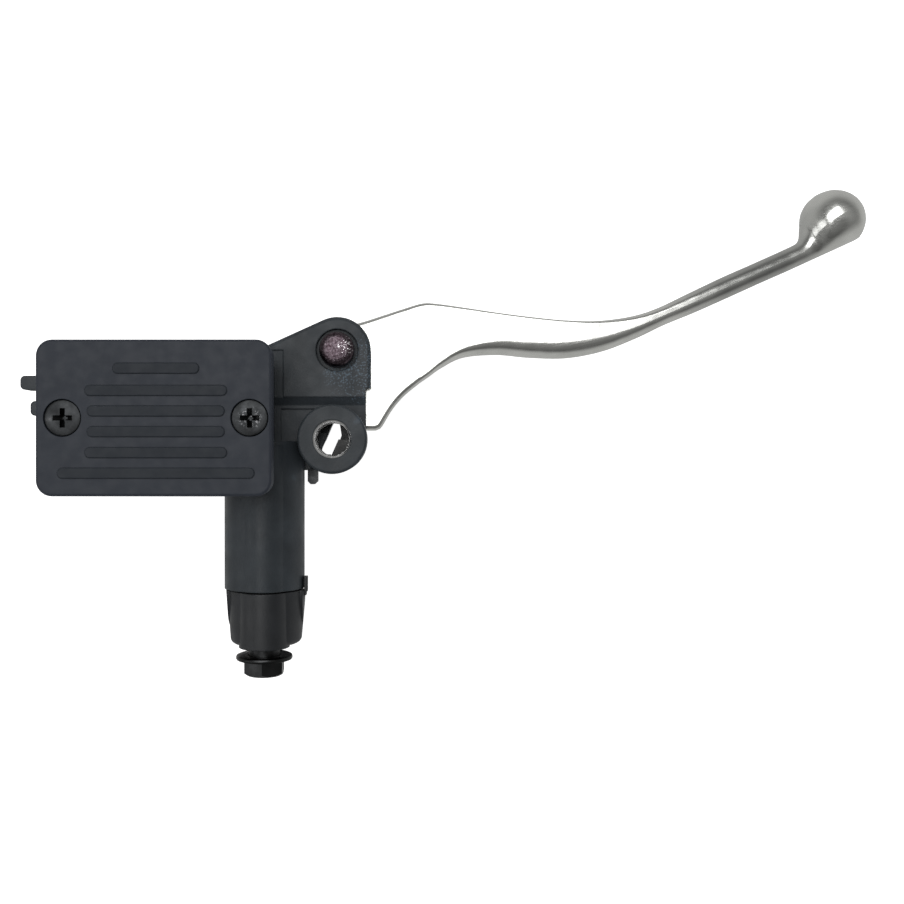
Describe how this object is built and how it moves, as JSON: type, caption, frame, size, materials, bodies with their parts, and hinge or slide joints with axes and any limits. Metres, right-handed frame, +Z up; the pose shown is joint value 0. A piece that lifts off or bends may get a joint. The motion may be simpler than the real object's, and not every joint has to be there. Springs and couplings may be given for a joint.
{
  "type": "brake master cylinder",
  "caption": "Right-hand front brake master cylinder with rectangular reservoir, handlebar clamp, mirror boss, and a hinged polished lever that pushes the piston.",
  "frame": {"origin": "centre of the handlebar clamp, on the handlebar axis", "axes": "+X along the handlebar, outboard; +Y forward, from the handlebar to the lever; +Z up, out of the filler cap"},
  "size_m": [0.2287, 0.1318, 0.0579],
  "materials": {
    "cast_body": "satin black paint",
    "clamp": "satin black paint",
    "cap_plastic": "matte",
    "black_zinc": "glossy black zinc",
    "pivot_steel": "worn dark plating",
    "cap_screw_steel": "black zinc",
    "polished_lever": "polished",
    "bronze": "satin",
    "bare_steel": "zinc",
    "piston_metal": "anodised",
    "black_rubber": "matte",
    "window_glass": "clear",
    "switch_plastic": "moulded",
    "white_plastic": "moulded"
  },
  "bodies": {
    "housing": {"master_cylinder_body": "cast_body", "reservoir_cap": "cap_plastic", "cap_screws": "cap_screw_steel", "diaphragm_plate": "white_plastic", "diaphragm": "black_rubber", "baffle_plate": "bare_steel", "sight_glass": "window_glass", "sight_glass_seal": "black_rubber", "clamp_cap": "clamp", "clamp_bolts": "black_zinc", "clamp_washers": "black_zinc", "pivot_bolt": "pivot_steel", "pivot_nut": "black_zinc", "return_spring": "bare_steel", "stop_washer": "bare_steel", "circlip": "bare_steel", "dust_boot": "black_rubber", "brake_switch_body": "switch_plastic", "brake_switch_screw": "bare_steel", "switch_terminals": "black_zinc"},
    "lever_body": {"lever": "polished_lever", "pivot_bush": "bronze"},
    "piston_body": {"piston": "piston_metal", "primary_cup": "black_rubber", "secondary_cup": "black_rubber"},
    "plunger_body": {"switch_plunger": "white_plastic"}
  },
  "joints": [
    {"name": "lever_pivot", "type": "hinge", "parent": "housing", "child": "lever_body", "pos_m": [0.0193, 0.0641, 0.00475], "axis": [0, 0, -1], "range_deg": [0, 15], "stiffness_Nm_per_rad": 3, "springref_deg": -8.59},
    {"name": "piston_slide", "type": "slide", "parent": "housing", "child": "piston_body", "axis": [-1, 0, 0], "range_m": [0, 0.0038], "deforming": ["return_spring"]},
    {"name": "switch_slide", "type": "slide", "parent": "housing", "child": "plunger_body", "axis": [0, -1, 0], "range_m": [0, 0.0021]}
  ],
  "couplings": [
    {"joint": "piston_slide", "follows": "lever_pivot", "m_per_rad": 0.01411},
    {"joint": "switch_slide", "follows": "lever_pivot", "m_per_rad": 0.0078}
  ]
}
